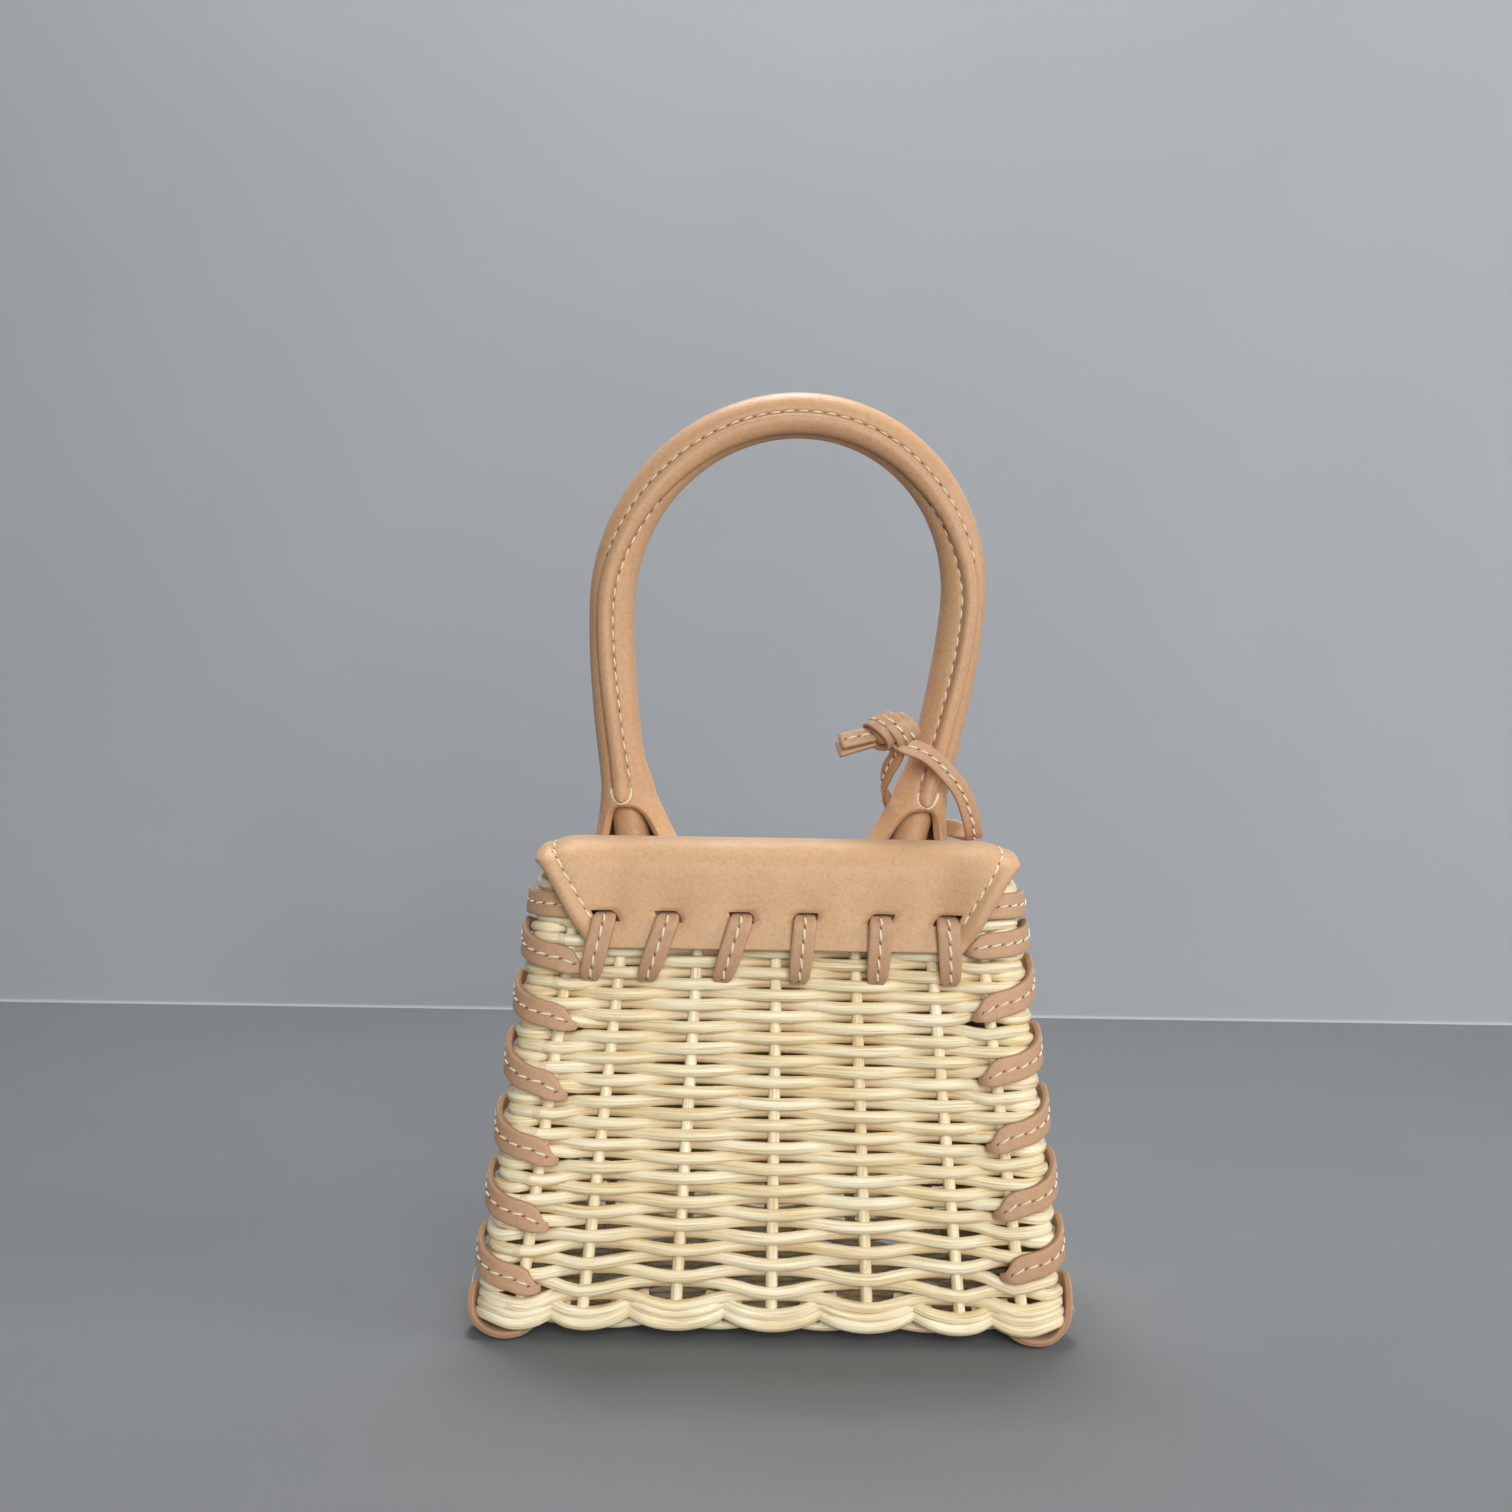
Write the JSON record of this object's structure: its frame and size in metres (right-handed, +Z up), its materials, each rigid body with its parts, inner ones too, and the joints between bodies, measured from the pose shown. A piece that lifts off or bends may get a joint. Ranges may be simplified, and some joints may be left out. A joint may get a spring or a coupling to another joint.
{
  "type": "mini handbag",
  "caption": "Small woven cane handbag with a laced leather cover, laced corners, a rolled arched handle and a knotted leather tie.",
  "frame": {"origin": "on the floor under the middle of the woven body, at the underside of the corner laces that it stands on", "axes": "+Z up along the handle's height, -Y towards the long wall that the cover is laced to, X along the long walls"},
  "size_m": [0.132, 0.0652, 0.2081],
  "materials": {
    "cane": "peeled cane, satin",
    "cover_leather": "smooth calf leather, soft sheen",
    "handle_leather": "smooth rolled leather, soft sheen",
    "lace_leather": "matt cut leather strap with a sewn line"
  },
  "bodies": {
    "root": {"basket_wall": "cane", "basket_base": "cane", "foot_border": "cane", "rim_border": "cane", "cover": "cover_leather", "cover_strap_1": "lace_leather", "cover_strap_2": "lace_leather", "cover_strap_3": "lace_leather", "cover_strap_4": "lace_leather", "cover_strap_5": "lace_leather", "cover_strap_6": "lace_leather", "corner_lace_left_rear": "lace_leather", "corner_lace_left_front": "lace_leather", "corner_lace_right_rear": "lace_leather", "corner_lace_right_front": "lace_leather", "handle_grip": "handle_leather", "handle_flare_left": "handle_leather", "handle_flare_right": "handle_leather", "handle_core_left": "handle_leather", "handle_core_right": "handle_leather", "tie_strap": "lace_leather", "tie_knot": "lace_leather", "tie_tail_1": "lace_leather", "tie_tail_2": "lace_leather"}
  },
  "joints": []
}
